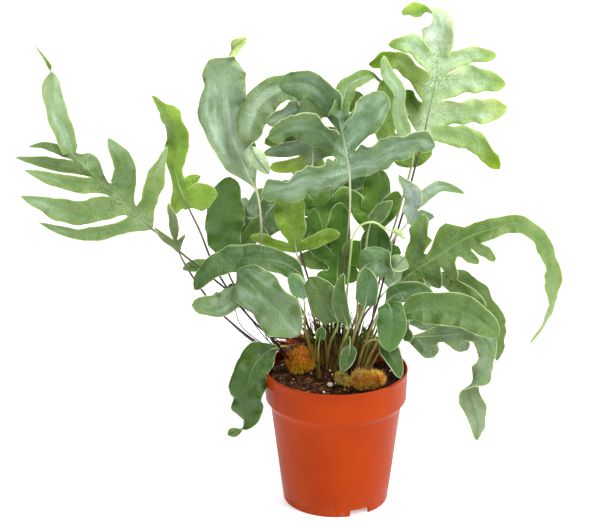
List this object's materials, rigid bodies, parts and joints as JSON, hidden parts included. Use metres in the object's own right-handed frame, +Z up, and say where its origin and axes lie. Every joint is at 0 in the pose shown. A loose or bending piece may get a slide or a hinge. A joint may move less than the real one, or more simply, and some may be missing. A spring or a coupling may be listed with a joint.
{
  "type": "potted blue star fern",
  "caption": "Potted fern with wavy lobed blue-green fronds on thin stalks, a furry creeping stem at the soil, and a round plastic nursery pot with a banded rim.",
  "frame": {"origin": "middle of the pot's underside", "axes": "+Z up; -Y towards the plant's front; the pot's axis is Z"},
  "size_m": [0.4448, 0.1981, 0.4259],
  "materials": {
    "pot_plastic": "satin terracotta-coloured plastic",
    "soil": "moist fibrous potting soil",
    "rhizome_fur": "golden-brown fur of fine scales",
    "frond": "waxy, glaucous blue-green leaf"
  },
  "bodies": {
    "root": {"pot": "pot_plastic", "soil": "soil", "rhizome_clump": "rhizome_fur", "rhizome_front": "rhizome_fur", "fiddlehead": "frond", "frond_far_left": "frond", "frond_left_bright": "frond", "frond_left_curled": "frond", "frond_tall_left": "frond", "frond_left_dark": "frond", "frond_left_arch": "frond", "frond_front_left": "frond", "frond_over_rim": "frond", "frond_centre": "frond", "frond_behind_centre": "frond", "frond_pale_upright": "frond", "frond_backlit": "frond", "frond_inner_left": "frond", "frond_inner_right": "frond", "frond_inner_upright": "frond", "frond_behind_right": "frond", "leaf_front_left": "frond", "leaf_front_broad": "frond", "leaf_front_narrow": "frond", "leaf_front_round": "frond", "leaf_front_curled": "frond", "leaf_mid_right": "frond", "leaf_inner_round": "frond", "leaf_right_drooping": "frond", "leaf_over_soil": "frond", "leaf_small_drooping": "frond", "leaf_right_level": "frond", "leaf_small_upright": "frond", "frond_top_right": "frond", "frond_mid_right": "frond", "frond_far_right": "frond", "frond_right_arch": "frond", "frond_front_right": "frond", "frond_right_drooping": "frond", "frond_back_left": "frond", "frond_back_middle": "frond", "frond_back_right": "frond", "frond_back_low_left": "frond", "frond_back_low_right": "frond"}
  },
  "joints": []
}
